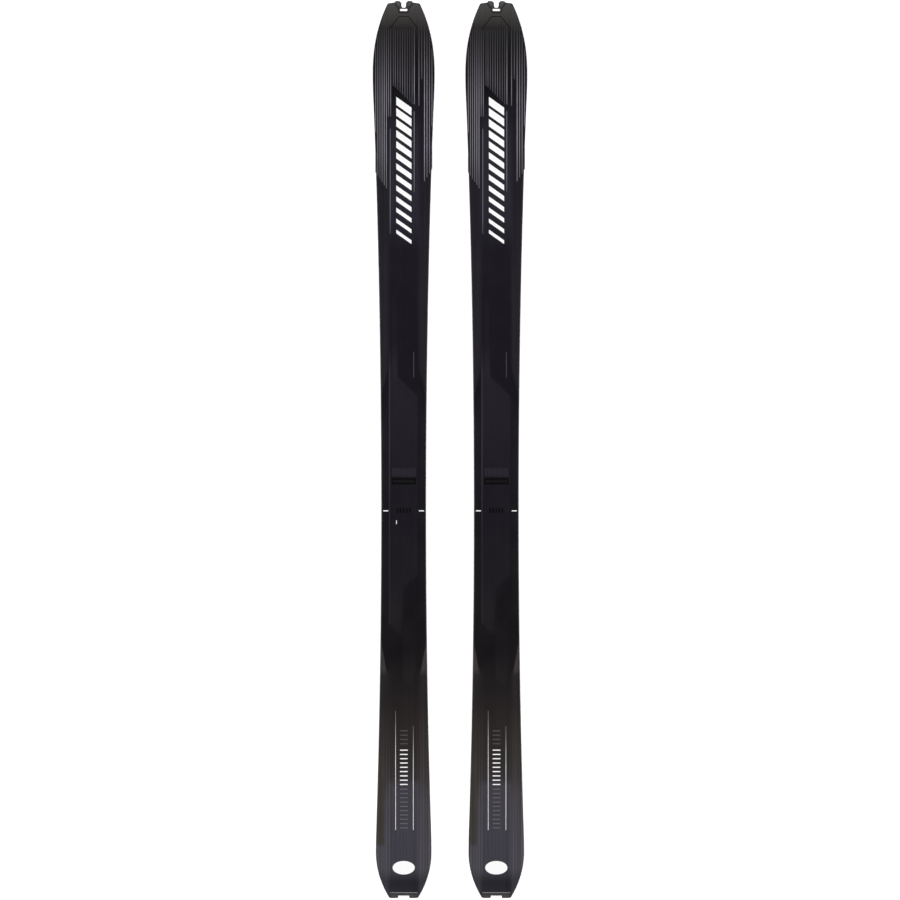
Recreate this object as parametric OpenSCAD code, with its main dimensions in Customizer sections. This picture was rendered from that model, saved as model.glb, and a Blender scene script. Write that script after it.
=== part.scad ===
// A pair of ski-touring skis without bindings, lying flat side by side.
//
// The tips point towards +Y, the top sheets face +Z and the bases rest on z = 0.
// The origin is on the ground, midway between the two skis and midway along them.
// Each ski is a sandwich: base and steel edges, a laminate, a wood core between
// sidewalls, a second laminate and a bevelled top sheet. A notched insert in the nose
// and a notched cap at the tail hold the two ends of a climbing skin.
// Both skis are the same; units are millimetres.

/* [Ski outline] */
// Length from nose to tail, measured flat
length = 1840; // [1600:10:1900]
// Width of the tip at its widest place
tip_w = 127; // [118:1:134]
// Width of the waist, under the boot
waist_w = 92; // [84:1:100]
// Width of the tail at its widest place
tail_w = 114; // [106:1:120]
// Distance from the tail end to the boot centre mark
boot_from_tail = 796; // [700:1:840]
// Distance between the centre lines of the two skis
spacing = 190; // [150:5:300]

/* [Side profile] */
// Height of the base above the ground under the boot
camber = 4; // [1:0.5:8]
// Rise of the nose above the ground
tip_rise = 50; // [30:1:60]
// Rise of the tail end above the ground
tail_rise = 14; // [6:1:25]
// Height of the flat binding platform above the ground
platform_z = 15; // [13:0.5:17]
// Thickness of the nose and of the tail
end_t = 4; // [3.6:0.1:5]

/* [Layers] */
// Thickness of the base sheet
base_t = 1.3; // [1:0.1:1.6]
// Width and height of the steel edges
edge_w = 2; // [1.6:0.1:2.4]
// Thickness of the top sheet
topsheet_t = 0.6; // [0.4:0.1:0.8]
// Thickness of the upper laminate
laminate_t = 0.6; // [0.4:0.1:0.8]
// Width of each sidewall, from its outer face to the core
sidewall_w = 6.4; // [4:0.2:8]

/* [Skin notches] */
// Width of the notch in the nose
tip_notch_w = 9.4; // [8.6:0.1:10]
// Length of the cross slot behind the notch
slot_w = 15; // [13:0.5:15.5]
// Width of the cross slot behind the notch
slot_h = 4.2; // [4.2:0.1:4.8]
// Width of the notch in the tail
tail_notch_w = 22.6; // [16:0.2:26]
// Depth of the notch in the tail
tail_notch_d = 5; // [4:0.5:7]

/* [Hidden] */
SIDES = ["left", "right"];
PIECES = ["base", "edge_outer", "edge_inner", "lower_laminate", "core", "core_stringers",
    "sidewall_outer", "sidewall_inner", "edge_dampers", "mounting_plate", "upper_laminate",
    "topsheet", "tip_insert", "tip_spacer", "tail_spacer", "tail_cap"];

// Places along the ski, measured along Y
nose_y = length / 2;
tail_y = -length / 2;
boot_y = tail_y + boot_from_tail;
shovel_y = nose_y - 152;            // widest place of the tip
heel_y = tail_y + 94;               // widest place of the tail
corner_y = nose_y - 5;              // corners of the nose
front_contact_y = nose_y - 300;     // where the front of the base leaves the ground
rear_contact_y = tail_y + 170;      // where the rear of the base leaves the ground
platform_half = 150;                // half length of the flat binding platform
platform_rear_y = boot_y - platform_half;
platform_front_y = boot_y + platform_half;
sidewall_rear_y = tail_y + 160;
sidewall_front_y = nose_y - 280;
cap_y = tail_y + 10;                // front of the tail cap
edge_end_y = nose_y - 15;           // front end of the steel edges

// Outline of the nose and of the tail
nose_w = 66;                        // between the corners of the nose
tail_end_w = 58.6;                  // between the corners of the tail
nose_crown = 4.7;                   // the middle of the nose stands this far ahead of its corners
nose_corner_r = 4;
tail_corner_r = 6;
tip_taper = 2.32;                   // power of the curve from the shovel to the nose
tail_taper = 2.05;                  // power of the curve from the heel to the tail
tip_fullness = 1.03;                // how far the tip's sidecut would overshoot its widest place
tail_fullness = 1.07;               // the same for the tail's sidecut
blend = 0.9;                        // share of the sidecut before it rounds off to its widest place

// Section
deck_half = 31;                     // half width of the flat middle of the top
shoulder_slope = 0.15;              // fall of the bevelled shoulders
shoulder_rear_y = tail_y + 270;
shoulder_front_y = nose_y - 320;
taper_power = 1.25;                 // of the thickness, from the platform to the ends
edge_h = edge_w;
sidewall_inset = 0.6;
topsheet_inset = 1.2;
core_inset = sidewall_inset + sidewall_w;
damper_t = 0.3;
damper_inset = 0.8;
plate_t = 0.8;
plate_half_w = 29;
stringer_x = 12;                    // inner face of each hard stringer
stringer_w = 6;
insert_lip = 0.6;                   // the nose insert stands proud of the top sheet
cap_lip = 0.4;                      // so does the tail cap
under_lip = 0.3;                    // and the insert stops short of the base's face
wide = 200;                         // wider than a ski
high = 120;                         // higher than a ski
corner_steps = 5;

// Share of the nose's or tail's rise at share t of the rocker's length
function rocker(t) = 0.4 * pow(t, 2) + 0.6 * pow(t, 4);

// Share of the camber at share u of the way from the boot centre to a contact line
function arch(u) = pow(1 - u * u, 2);

// Height of the base's face above the ground
function base_z(y) =
    y >= front_contact_y ? tip_rise * rocker((y - front_contact_y) / (nose_y - front_contact_y)) :
    y <= rear_contact_y ? tail_rise * rocker((rear_contact_y - y) / (rear_contact_y - tail_y)) :
    y >= boot_y ? camber * arch((y - boot_y) / (front_contact_y - boot_y)) :
    camber * arch((boot_y - y) / (boot_y - rear_contact_y));

// Thickness at share v of the way from the platform to the thin end
function tapered(v, full) = end_t + (full - end_t) * pow(1 - min(v, 1), taper_power);

// Height of the top sheet's flat middle
function top_z(y) =
    y > platform_front_y ? base_z(y) + tapered(
        (y - platform_front_y) / (shovel_y - platform_front_y), platform_z - base_z(platform_front_y)) :
    y < platform_rear_y ? base_z(y) + tapered(
        (platform_rear_y - y) / (platform_rear_y - heel_y), platform_z - base_z(platform_rear_y)) :
    platform_z;

// Half width of the sidecut at share s of the way from the waist to a widest place
function sidecut(s, widest, fullness) =
    waist_w / 2 + fullness * (widest - waist_w) / 2 * s * s;

// Smooth step from value a with slope m to the flat value b, at share t
function round_off(a, m, b, t) =
    a * (2 * pow(t, 3) - 3 * t * t + 1) + m * (pow(t, 3) - 2 * t * t + t) + b * (3 * t * t - 2 * pow(t, 3));

// Half width from the waist to a widest place, at share s
function flare(s, widest, fullness) =
    s < blend ? sidecut(s, widest, fullness) :
    round_off(sidecut(blend, widest, fullness),
        fullness * (widest - waist_w) * blend * (1 - blend), widest / 2, (s - blend) / (1 - blend));

// Half width of the whole outline
function half_w(y) =
    y > shovel_y ? tip_w / 2 - (tip_w - nose_w) / 2 * pow((y - shovel_y) / (corner_y - shovel_y), tip_taper) :
    y < heel_y ? tail_w / 2 - (tail_w - tail_end_w) / 2 * pow((heel_y - y) / (heel_y - tail_y), tail_taper) :
    y >= boot_y ? flare((y - boot_y) / (shovel_y - boot_y), tip_w, tip_fullness) :
    flare((boot_y - y) / (boot_y - heel_y), tail_w, tail_fullness);

// Evenly spaced values from a to b, without b
function steps(a, b, n) = [for (i = [0 : n - 1]) a + (b - a) * i / n];

SIDE_STATIONS = concat(
    steps(tail_y + 7, heel_y, 8),
    steps(heel_y, rear_contact_y, 6),
    steps(rear_contact_y, front_contact_y, 30),
    steps(front_contact_y, shovel_y, 9),
    steps(shovel_y, corner_y - 4, 14),
    [corner_y - 4]);
BASE_STATIONS = concat(
    steps(tail_y, rear_contact_y, 16),
    steps(rear_contact_y, front_contact_y, 26),
    steps(front_contact_y, nose_y, 30),
    [nose_y]);
TOP_STATIONS = concat(
    steps(tail_y, rear_contact_y, 16),
    steps(rear_contact_y, platform_rear_y, 9),
    [platform_rear_y],
    steps(platform_front_y, front_contact_y, 12),
    steps(front_contact_y, nose_y, 30),
    [nose_y]);

// A point of the right-hand side, moved inwards by d
function side_point(y, d) =
    let (slope = (half_w(y + 0.5) - half_w(y - 0.5)), run = sqrt(1 + slope * slope))
    [half_w(y) - d / run, y + d * slope / run];

function unit(v) = v / norm(v);

// The corner b, between a and c, rounded with radius r
function rounded(a, b, c, r) =
    let (u = unit(a - b), v = unit(c - b), half = acos(u * v) / 2,
        centre = b + unit(u + v) * r / sin(half),
        from = b + u * r / tan(half) - centre,
        turn = (180 - 2 * half) * sign((b - a)[0] * (c - b)[1] - (b - a)[1] * (c - b)[0]))
    [for (i = [0 : corner_steps]) let (t = turn * i / corner_steps)
        centre + [from[0] * cos(t) - from[1] * sin(t), from[0] * sin(t) + from[1] * cos(t)]];

// A chain of [x, y, radius] corners, each rounded; the first and last stay sharp
function chain(pts) = [for (i = [0 : len(pts) - 1]) each
    (pts[i][2] == 0) ? [[pts[i][0], pts[i][1]]] :
    rounded([pts[i - 1][0], pts[i - 1][1]], [pts[i][0], pts[i][1]], [pts[i + 1][0], pts[i + 1][1]], pts[i][2])];

// A closed outline from its right-hand half; points on the centre line aren't repeated
function both_sides(half) =
    concat(half, [for (i = [len(half) - 1 : -1 : 0]) if (half[i][0] > 0) [-half[i][0], half[i][1]]]);

// The outline moved inwards by d
function outline(d) =
    let (side = [for (y = SIDE_STATIONS) side_point(y, d)],
        tail_corner = [tail_end_w / 2 - d, tail_y + d],
        nose_corner = [nose_w / 2 - 1.2 * d, corner_y - 0.9 * d])
    both_sides(concat(
        rounded([0, tail_y + d], tail_corner, side[0], tail_corner_r),
        side,
        rounded(side[len(side) - 1], nose_corner, [0, corner_y + nose_crown - d], nose_corner_r),
        [[0, corner_y + nose_crown - d]]));

// Right-hand half of the nose insert: its outer edge, then the horn and the notch
INSERT_EDGE = [[0, nose_y - 23.4, 0], [9.2, nose_y - 23.4, 3.2], [10.2, nose_y - 15.6, 2], [19, nose_y - 3.4, 1]];
INSERT_HORN = [[16.5, nose_y, 2], [8.5, nose_y, 2.2]];
INSERT_NOTCH = [[tip_notch_w / 2, nose_y - 3.9, 1.8], [tip_notch_w / 2, nose_y - 9.8, 1.6],
    [3.2, nose_y - 13.8, 2.2], [0, nose_y - 13.8, 0]];
slot_y = nose_y - 18.4;

module along(from, to) {
    translate([-wide / 2, from]) square([wide, to - from]);
}

// Flat shape of the whole ski, moved inwards by d
module plan(d) {
    polygon(outline(d));
}

// The space that the nose insert takes up in the layers, with its notch filled
module insert_space() {
    polygon(both_sides(chain(concat(INSERT_EDGE, [[16.5, nose_y, 0], [0, nose_y + 1, 0]]))));
}

// Flat shape of the running surface: inside the steel edges, and full width past their ends
module base_plan() {
    difference() {
        union() {
            plan(edge_w);
            intersection() {
                plan(0);
                along(edge_end_y, nose_y);
            }
        }
        insert_space();
        along(tail_y - 1, cap_y);
    }
}

// Flat shape of a layer moved inwards by d, between the tail cap and the nose insert
module layer_plan(d) {
    difference() {
        plan(d);
        insert_space();
        along(tail_y - 1, cap_y);
    }
}

// Flat strip along one side, between insets a and b; side is 1 for +X and -1 for -X
module strip_plan(a, b, side, from, to) {
    intersection() {
        difference() {
            plan(a);
            plan(b);
        }
        along(from, to);
        translate([side > 0 ? 0 : -wide, -length]) square([wide, 2 * length]);
    }
}

// A side view, drawn as [y, z] points, stretched across the ski
module across(points) {
    translate([-wide / 2, 0, 0]) rotate([90, 0, 90]) linear_extrude(wide) polygon(points);
}

// Everything that is at least d above the base's face
module above_base(d) {
    across(concat([for (y = BASE_STATIONS) [y, base_z(y) + d]], [[nose_y, high], [tail_y, high]]));
}

// Everything that is at most d above the base's face
module below_base(d) {
    across(concat([for (y = BASE_STATIONS) [y, base_z(y) + d]], [[nose_y, -high], [tail_y, -high]]));
}

// Everything that is at least d below the top of the ski
module below_top(d) {
    difference() {
        across(concat([for (y = TOP_STATIONS) [y, top_z(y) - d]], [[nose_y, -high], [tail_y, -high]]));
        for (side = [0, 1]) mirror([side, 0, 0]) shoulder_cut(d);
    }
}

// What the bevelled shoulder takes away on the +X side, d below its surface
module shoulder_cut(d) {
    z = platform_z - d;
    drop = (wide - deck_half) * shoulder_slope;
    translate([0, shoulder_front_y, 0]) rotate([90, 0, 0])
        linear_extrude(shoulder_front_y - shoulder_rear_y)
            polygon([[deck_half, z], [wide, z - drop], [wide, high], [deck_half, high]]);
}

// The part of a ski that lies a above its base and b below its top, over a flat shape
module sandwich(a, b) {
    intersection() {
        linear_extrude(high) children();
        above_base(a);
        below_top(b);
    }
}

module base() {
    color("#1b1b1d") intersection() {
        linear_extrude(high) base_plan();
        above_base(0);
        below_base(base_t);
    }
}

module edge(side) {
    color("#8d8f92") intersection() {
        linear_extrude(high) strip_plan(0, edge_w, side, cap_y, edge_end_y);
        above_base(0);
        below_base(edge_h);
    }
}

module lower_laminate() {
    color("#2a2a2c") intersection() {
        linear_extrude(high) base_plan();
        above_base(base_t);
        below_base(edge_h);
    }
}

// The room for wood between the two laminates
module core_space() {
    sandwich(edge_h, topsheet_t + laminate_t) intersection() {
        plan(core_inset);
        along(sidewall_rear_y, sidewall_front_y);
    }
}

module stringer_space() {
    for (side = [-1, 1])
        translate([side * (stringer_x + stringer_w / 2) - stringer_w / 2, tail_y, 0])
            cube([stringer_w, length, high]);
}

module plate_space() {
    translate([-plate_half_w, platform_rear_y, platform_z - topsheet_t - laminate_t - plate_t])
        cube([2 * plate_half_w, 2 * platform_half, plate_t]);
}

module core() {
    color("#d9bd8c") difference() {
        core_space();
        stringer_space();
        plate_space();
    }
}

module core_stringers() {
    color("#b58a54") difference() {
        intersection() {
            core_space();
            stringer_space();
        }
        plate_space();
    }
}

module mounting_plate() {
    color("#9a9ca0") plate_space();
}

module sidewall(side) {
    color("#26262a") sandwich(edge_h + damper_t, topsheet_t)
        strip_plan(sidewall_inset, core_inset, side, sidewall_rear_y, sidewall_front_y);
}

module edge_dampers() {
    color("#3a3a3a") for (side = [-1, 1]) intersection() {
        linear_extrude(high) strip_plan(damper_inset, core_inset, side, sidewall_rear_y, sidewall_front_y);
        above_base(edge_h);
        below_base(edge_h + damper_t);
    }
}

// The room for the carbon laminate under the top sheet
module laminate_space() {
    difference() {
        sandwich(edge_h, topsheet_t) layer_plan(core_inset);
        below_top(topsheet_t + laminate_t);
    }
}

module upper_laminate() {
    color("#232326") laminate_space();
}

module topsheet() {
    color("#2b2a2e") difference() {
        sandwich(edge_h, 0) layer_plan(topsheet_inset);
        below_top(topsheet_t);
    }
}

// The filler that closes the sandwich past one end of the core
module spacer(from, to) {
    difference() {
        sandwich(edge_h, topsheet_t) intersection() {
            layer_plan(sidewall_inset);
            along(from, to);
        }
        laminate_space();
    }
}

module tip_spacer() {
    color("#343438") spacer(sidewall_front_y, nose_y);
}

module tail_spacer() {
    color("#343438") spacer(cap_y, sidewall_rear_y);
}

module tip_insert() {
    color("#4a4948") sandwich(under_lip, -insert_lip) difference() {
        polygon(both_sides(chain(concat(INSERT_EDGE, INSERT_HORN, INSERT_NOTCH))));
        translate([0, slot_y - slot_h / 2]) slot_plan();
    }
}

module slot_plan() {
    polygon(both_sides(chain(
        [[0, 0, 0], [slot_w / 2, 0, 1.2], [slot_w / 2, slot_h, 1.2], [0, slot_h, 0]])));
}

module tail_cap() {
    color("#2d2d30") sandwich(0, -cap_lip) difference() {
        intersection() {
            plan(0);
            along(tail_y, cap_y);
        }
        polygon([[-tail_notch_w / 2 - 2, tail_y - 1], [tail_notch_w / 2 + 2, tail_y - 1],
            [tail_notch_w / 2, tail_y + 2], [tail_notch_w / 2, tail_y + tail_notch_d],
            [-tail_notch_w / 2, tail_y + tail_notch_d], [-tail_notch_w / 2, tail_y + 2]]);
    }
}

for (side = SIDES) translate([side == "left" ? -spacing / 2 : spacing / 2, 0, 0]) {
    out = side == "left" ? -1 : 1;
    base();
    edge(out);
    edge(-out);
    lower_laminate();
    core();
    core_stringers();
    sidewall(out);
    sidewall(-out);
    edge_dampers();
    mounting_plate();
    upper_laminate();
    topsheet();
    tip_insert();
    tip_spacer();
    tail_spacer();
    tail_cap();
}
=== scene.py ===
"""Looks for a pair of ski-touring skis: decks, edges, bases, ends and printed marks.

Each ski is drawn once, on its own centre line, and laid on both skis. Lengths are in
metres. X runs across the ski, Y from the tail to the nose and Z up.
"""

import math

import bmesh
import bpy
import numpy as np
from mathutils import Matrix, Vector
from mathutils.geometry import delaunay_2d_cdt


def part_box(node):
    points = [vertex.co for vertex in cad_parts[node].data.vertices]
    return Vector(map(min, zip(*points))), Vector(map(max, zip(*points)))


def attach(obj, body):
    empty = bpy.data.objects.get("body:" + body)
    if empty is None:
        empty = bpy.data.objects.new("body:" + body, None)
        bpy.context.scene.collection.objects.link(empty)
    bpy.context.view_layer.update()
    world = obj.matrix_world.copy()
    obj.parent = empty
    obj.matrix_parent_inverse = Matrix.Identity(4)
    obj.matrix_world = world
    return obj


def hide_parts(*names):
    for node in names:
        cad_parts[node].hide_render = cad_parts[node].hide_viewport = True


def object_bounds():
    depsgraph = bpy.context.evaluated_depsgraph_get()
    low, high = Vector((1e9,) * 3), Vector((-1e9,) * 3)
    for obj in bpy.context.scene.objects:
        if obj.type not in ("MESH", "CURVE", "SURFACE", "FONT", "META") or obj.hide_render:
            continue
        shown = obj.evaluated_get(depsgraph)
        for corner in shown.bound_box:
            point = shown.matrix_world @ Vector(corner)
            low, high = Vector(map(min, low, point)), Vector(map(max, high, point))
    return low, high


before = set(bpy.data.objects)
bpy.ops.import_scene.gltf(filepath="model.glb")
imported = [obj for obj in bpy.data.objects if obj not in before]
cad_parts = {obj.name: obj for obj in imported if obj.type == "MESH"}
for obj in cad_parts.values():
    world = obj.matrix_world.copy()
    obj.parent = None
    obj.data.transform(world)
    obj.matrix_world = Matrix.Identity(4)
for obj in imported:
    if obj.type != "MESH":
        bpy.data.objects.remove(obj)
CAD_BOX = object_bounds()

bl_info = {
    "name": "Touring ski finishes",
    "version": (1, 0, 0),
    "blender": (4, 5, 0),
    "location": "View3D > Sidebar > Skis",
    "description": "Builds the decks, edges, bases, ends and printed marks of a pair of touring skis",
    "category": "Object",
}

SIDES = ("left", "right")

# ---------------- sizes of the ski

SKI_X = (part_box("right_mounting_plate")[0].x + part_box("right_mounting_plate")[1].x) / 2
TAIL_Y = CAD_BOX[0][1]
NOSE_Y = CAD_BOX[1][1]
LENGTH = NOSE_Y - TAIL_Y
PLATFORM_REAR_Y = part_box("left_mounting_plate")[0].y
PLATFORM_FRONT_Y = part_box("left_mounting_plate")[1].y
BOOT_Y = (PLATFORM_REAR_Y + PLATFORM_FRONT_Y) / 2
SIDEWALL_REAR_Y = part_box("left_sidewall_outer")[0].y
SIDEWALL_FRONT_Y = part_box("left_sidewall_outer")[1].y
CAP_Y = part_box("left_tail_cap")[1].y
EDGE_END_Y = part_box("left_edge_outer")[1].y

TIP_W = 2 * (CAD_BOX[1][0] - SKI_X)
WAIST_W = 0.092
TAIL_W = 0.114
NOSE_W = 0.066
TAIL_END_W = 0.0586
SHOVEL_Y = NOSE_Y - 0.152
HEEL_Y = TAIL_Y + 0.094
TAIL_TURN_Y = TAIL_Y + 0.007
CORNER_Y = NOSE_Y - 0.005
SIDE_END_Y = CORNER_Y - 0.004
FRONT_CONTACT_Y = NOSE_Y - 0.300
REAR_CONTACT_Y = TAIL_Y + 0.170
NOSE_CROWN = 0.0047
NOSE_CORNER_R = 0.004
TAIL_CORNER_R = 0.006
TIP_TAPER = 2.32
TAIL_TAPER = 2.05
TIP_FULLNESS = 1.03
TAIL_FULLNESS = 1.07
BLEND = 0.9

CAMBER = 0.004
TIP_RISE = 0.050
TAIL_RISE = 0.014
PLATFORM_Z = 0.015
END_T = 0.004
TAPER_POWER = 1.25
DECK_HALF = 0.031
SHOULDER_SLOPE = 0.15
SHOULDER_REAR_Y = TAIL_Y + 0.270
SHOULDER_FRONT_Y = NOSE_Y - 0.320

BASE_T = 0.0013
EDGE_W = 0.002
DAMPER_T = 0.0003
TOPSHEET_T = 0.0006
TOPSHEET_INSET = 0.0012
SIDEWALL_INSET = 0.0006
CORE_INSET = 0.007
INSERT_LIP = 0.0006
CAP_LIP = 0.0004
UNDER_LIP = 0.0003
END_RIM = 0.0003
TIP_NOTCH_W = 0.0094
SLOT_W = 0.015
SLOT_H = 0.0042
SLOT_R = 0.0012
TAIL_NOTCH_W = 0.0226
TAIL_NOTCH_D = 0.005

SIDE_STEP = 0.008       # distance between points along the sides
END_STEP = 0.003        # the same where the nose and the tail turn in
CREASE_STEP = 0.006     # the same along the deck's creases
PRINT_X = 0.0004        # centre of the print across the ski


def rocker(t):
    """Share of the nose's or tail's rise at share t of the rocker's length"""
    return 0.4 * t ** 2 + 0.6 * t ** 4


def arch(u):
    """Share of the camber at share u of the way from the boot centre to a contact line"""
    return (1 - u * u) ** 2


def base_z(y):
    """Height of the base's face above the ground"""
    if y >= FRONT_CONTACT_Y:
        return TIP_RISE * rocker((y - FRONT_CONTACT_Y) / (NOSE_Y - FRONT_CONTACT_Y))
    if y <= REAR_CONTACT_Y:
        return TAIL_RISE * rocker((REAR_CONTACT_Y - y) / (REAR_CONTACT_Y - TAIL_Y))
    if y >= BOOT_Y:
        return CAMBER * arch((y - BOOT_Y) / (FRONT_CONTACT_Y - BOOT_Y))
    return CAMBER * arch((BOOT_Y - y) / (BOOT_Y - REAR_CONTACT_Y))


def tapered(v, full):
    """Thickness at share v of the way from the platform to the thin end"""
    return END_T + (full - END_T) * (1 - min(v, 1)) ** TAPER_POWER


def middle_z(y):
    """Height of the deck's flat middle"""
    if y > PLATFORM_FRONT_Y:
        share = (y - PLATFORM_FRONT_Y) / (SHOVEL_Y - PLATFORM_FRONT_Y)
        return base_z(y) + tapered(share, PLATFORM_Z - base_z(PLATFORM_FRONT_Y))
    if y < PLATFORM_REAR_Y:
        share = (PLATFORM_REAR_Y - y) / (PLATFORM_REAR_Y - HEEL_Y)
        return base_z(y) + tapered(share, PLATFORM_Z - base_z(PLATFORM_REAR_Y))
    return PLATFORM_Z


def deck_z(x, y):
    """Height of the deck, with its bevelled shoulders"""
    z = middle_z(y)
    if SHOULDER_REAR_Y < y < SHOULDER_FRONT_Y and abs(x) > DECK_HALF:
        return min(z, PLATFORM_Z - (abs(x) - DECK_HALF) * SHOULDER_SLOPE)
    return z


def flare(s, widest, fullness):
    """Half width at share s of the way from the waist to a widest place"""
    if s < BLEND:
        return WAIST_W / 2 + fullness * (widest - WAIST_W) / 2 * s * s
    start = WAIST_W / 2 + fullness * (widest - WAIST_W) / 2 * BLEND * BLEND
    slope = fullness * (widest - WAIST_W) * BLEND * (1 - BLEND)
    t = (s - BLEND) / (1 - BLEND)
    ease = 3 * t * t - 2 * t ** 3
    return start * (1 - ease) + slope * (t ** 3 - 2 * t * t + t) + widest / 2 * ease


def half_w(y):
    """Half width of the ski"""
    if y > SHOVEL_Y:
        share = (y - SHOVEL_Y) / (CORNER_Y - SHOVEL_Y)
        return TIP_W / 2 - (TIP_W - NOSE_W) / 2 * share ** TIP_TAPER
    if y < HEEL_Y:
        share = (HEEL_Y - y) / (HEEL_Y - TAIL_Y)
        return TAIL_W / 2 - (TAIL_W - TAIL_END_W) / 2 * share ** TAIL_TAPER
    if y >= BOOT_Y:
        return flare((y - BOOT_Y) / (SHOVEL_Y - BOOT_Y), TIP_W, TIP_FULLNESS)
    return flare((BOOT_Y - y) / (BOOT_Y - HEEL_Y), TAIL_W, TAIL_FULLNESS)


# ---------------- flat outlines


def spaced(a, b, step):
    """Evenly spaced values from a to b, at most step apart"""
    count = max(1, math.ceil((b - a) / step))
    return [a + (b - a) * i / count for i in range(count + 1)]


def side_point(y, inset):
    """A point of the right-hand side, moved inwards by inset"""
    slope = (half_w(y + 0.0005) - half_w(y - 0.0005)) / 0.001
    run = math.hypot(1, slope)
    return (half_w(y) - inset / run, y + inset * slope / run)


def side_line(inset, start, end):
    """Points of the right-hand side from start to end, closer together at the two ends"""
    marks = [start] + [y for y in (HEEL_Y, SHOVEL_Y) if start < y < end] + [end]
    ys = [start]
    for a, b in zip(marks, marks[1:]):
        ys += spaced(a, b, SIDE_STEP if HEEL_Y <= a and b <= SHOVEL_Y else END_STEP)[1:]
    return [side_point(y, inset) for y in ys]


def rounded(a, b, c, radius, steps=6):
    """The corner b, between a and c, as points of an arc"""
    a, b, c = Vector(a), Vector(b), Vector(c)
    u, v = (a - b).normalized(), (c - b).normalized()
    half = u.angle(v) / 2
    centre = b + (u + v).normalized() * radius / math.sin(half)
    start = b + u * radius / math.tan(half) - centre
    side = math.copysign(1, (b - a).cross(c - b))
    turn = (math.pi - 2 * half) * side
    points = []
    for i in range(steps + 1):
        t = turn * i / steps
        x = start.x * math.cos(t) - start.y * math.sin(t)
        y = start.x * math.sin(t) + start.y * math.cos(t)
        points.append((centre.x + x, centre.y + y))
    return points


def chain(corners):
    """A line through (x, y, radius) corners; those with no radius stay sharp"""
    points = []
    for i, (x, y, radius) in enumerate(corners):
        if radius == 0:
            points.append((x, y))
        else:
            points += rounded(corners[i - 1][:2], (x, y), corners[i + 1][:2], radius)
    return points


def closed_chain(corners):
    """A closed loop through (x, y, radius) corners"""
    points = []
    for i, (x, y, radius) in enumerate(corners):
        after = corners[(i + 1) % len(corners)]
        points += rounded(corners[i - 1][:2], (x, y), after[:2], radius)
    return points


def mirrored(loop):
    """The loop on the other side of the centre line, still anticlockwise"""
    return [(-x, y) for x, y in reversed(loop)]


def both_sides(half):
    """A closed loop, anticlockwise, from its right-hand half going up"""
    return list(half) + [(-x, y) for x, y in reversed(half) if x > 1e-9]


def meeting(line, other):
    """Where two lines first cross: (index in line, index in other, point)"""
    for i in range(len(line) - 1):
        p, r = Vector(line[i]), Vector(line[i + 1]) - Vector(line[i])
        for j in range(len(other) - 1):
            q, s = Vector(other[j]), Vector(other[j + 1]) - Vector(other[j])
            span = r.cross(s)
            if abs(span) < 1e-15:
                continue
            t, u = (q - p).cross(s) / span, (q - p).cross(r) / span
            if 0 <= t <= 1 and 0 <= u <= 1:
                return i, j, tuple(p + r * t)
    raise RuntimeError("the two lines don't cross")


SEAT_END_X = 0.0165     # where the nose insert's seat runs out of the nose

# Right-hand half of the nose insert: its seat in the deck, its horn and its notch
INSERT_SEAT = [(0, NOSE_Y - 0.0234, 0), (0.0092, NOSE_Y - 0.0234, 0.0032),
               (0.0102, NOSE_Y - 0.0156, 0.002), (0.019, NOSE_Y - 0.0034, 0.001)]
INSERT_HORN = [(SEAT_END_X, NOSE_Y, 0.002), (0.0085, NOSE_Y, 0.0022)]
INSERT_NOTCH = [(TIP_NOTCH_W / 2, NOSE_Y - 0.0039, 0.0018), (TIP_NOTCH_W / 2, NOSE_Y - 0.0098, 0.0016),
                (0.0032, NOSE_Y - 0.0138, 0.0022), (0, NOSE_Y - 0.0138, 0)]
SLOT_Y = NOSE_Y - 0.0184

# The grey pad on the right-hand horn of the nose insert, and on the right-hand foot of the tail cap
HORN_PAD = [(0.0073, NOSE_Y - 0.0094, 0.0010), (0.0118, NOSE_Y - 0.0100, 0.0012),
            (0.0168, NOSE_Y - 0.0034, 0.0008), (0.0155, NOSE_Y - 0.0013, 0.0010),
            (0.0087, NOSE_Y - 0.0013, 0.0012), (0.0070, NOSE_Y - 0.0046, 0.0012)]
FOOT_PAD = [(0.0146, TAIL_Y + 0.0016, 0.0010), (0.0235, TAIL_Y + 0.0016, 0.0022),
            (0.0275, TAIL_Y + 0.0062, 0.0016), (0.0146, TAIL_Y + 0.0062, 0.0010)]


def nose_line(inset):
    """From the last straight of the side round the nose's corner to the insert's seat"""
    seat = chain(INSERT_SEAT + [(SEAT_END_X, NOSE_Y, 0)])
    side_end = side_point(SIDE_END_Y, inset)
    corner = (NOSE_W / 2 - 1.2 * inset, CORNER_Y - 0.9 * inset)
    front = (0, CORNER_Y + NOSE_CROWN - inset)
    line = rounded(side_end, corner, front, NOSE_CORNER_R) + [front]
    i, j, point = meeting(line, seat)
    return line[:i + 1] + [point] + list(reversed(seat[:j + 1]))


def deck_loop():
    """The outline of the deck, between the tail cap and the nose insert"""
    half = [(0, CAP_Y)] + side_line(TOPSHEET_INSET, CAP_Y, SIDE_END_Y)
    half[1] = (half[1][0], CAP_Y)
    return both_sides(half + nose_line(TOPSHEET_INSET))


def running_loop():
    """The outline of the base: inside the steel edges, and full width past their ends"""
    half = [(0, CAP_Y)] + side_line(EDGE_W, CAP_Y, EDGE_END_Y)
    half[1] = (half[1][0], CAP_Y)
    half[-1] = (half[-1][0], EDGE_END_Y)
    half += side_line(0, EDGE_END_Y, SIDE_END_Y)
    return both_sides(half + nose_line(0))


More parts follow.
